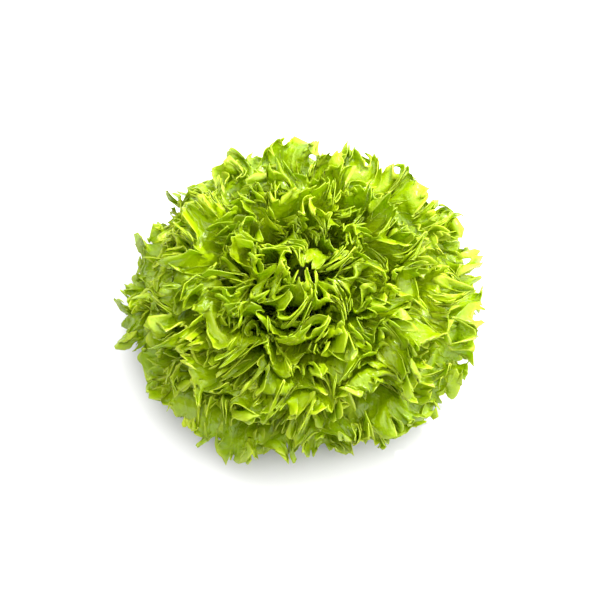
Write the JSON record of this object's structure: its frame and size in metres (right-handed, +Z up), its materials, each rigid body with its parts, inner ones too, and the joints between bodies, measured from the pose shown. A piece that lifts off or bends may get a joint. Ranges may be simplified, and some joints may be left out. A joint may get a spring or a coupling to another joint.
{
  "type": "lollo bionda lettuce",
  "caption": "Whole cut head of curly pale green salad lettuce: frilled leaves nested round a short stem, standing on the stem's flat cut.",
  "frame": {"origin": "centre of the stem's flat cut face, on the surface that the head stands on", "axes": "+Z up along the stem, from the cut face towards the heart; the picture looks along +Y and down"},
  "size_m": [0.2752, 0.266, 0.1404],
  "materials": {
    "outer_leaf": "satin, slightly translucent leaf",
    "heart_leaf": "satin, slightly translucent young leaf",
    "cut_stem": "moist, satin"
  },
  "bodies": {
    "root": {"stem": "cut_stem", "leaf_01": "outer_leaf", "leaf_02": "outer_leaf", "leaf_03": "outer_leaf", "leaf_04": "outer_leaf", "leaf_05": "outer_leaf", "leaf_06": "outer_leaf", "leaf_07": "outer_leaf", "leaf_08": "outer_leaf", "leaf_09": "outer_leaf", "leaf_10": "outer_leaf", "leaf_11": "outer_leaf", "leaf_12": "outer_leaf", "leaf_13": "outer_leaf", "leaf_14": "outer_leaf", "leaf_15": "outer_leaf", "leaf_16": "outer_leaf", "leaf_17": "outer_leaf", "leaf_18": "outer_leaf", "leaf_19": "outer_leaf", "leaf_20": "outer_leaf", "leaf_21": "outer_leaf", "leaf_22": "outer_leaf", "leaf_23": "outer_leaf", "leaf_24": "outer_leaf", "leaf_25": "outer_leaf", "leaf_26": "outer_leaf", "leaf_27": "outer_leaf", "leaf_28": "outer_leaf", "leaf_29": "outer_leaf", "leaf_30": "outer_leaf", "leaf_31": "heart_leaf", "leaf_32": "heart_leaf", "leaf_33": "heart_leaf", "leaf_34": "heart_leaf", "leaf_35": "heart_leaf", "leaf_36": "heart_leaf", "leaf_37": "heart_leaf", "leaf_38": "heart_leaf", "leaf_39": "heart_leaf", "leaf_40": "heart_leaf", "leaf_41": "heart_leaf", "leaf_42": "heart_leaf", "leaf_43": "heart_leaf", "leaf_44": "heart_leaf", "leaf_45": "heart_leaf", "leaf_46": "heart_leaf", "leaf_47": "heart_leaf", "leaf_48": "heart_leaf", "leaf_49": "heart_leaf", "leaf_50": "heart_leaf", "leaf_51": "heart_leaf", "leaf_52": "heart_leaf", "leaf_53": "heart_leaf", "leaf_54": "heart_leaf"}
  },
  "joints": []
}
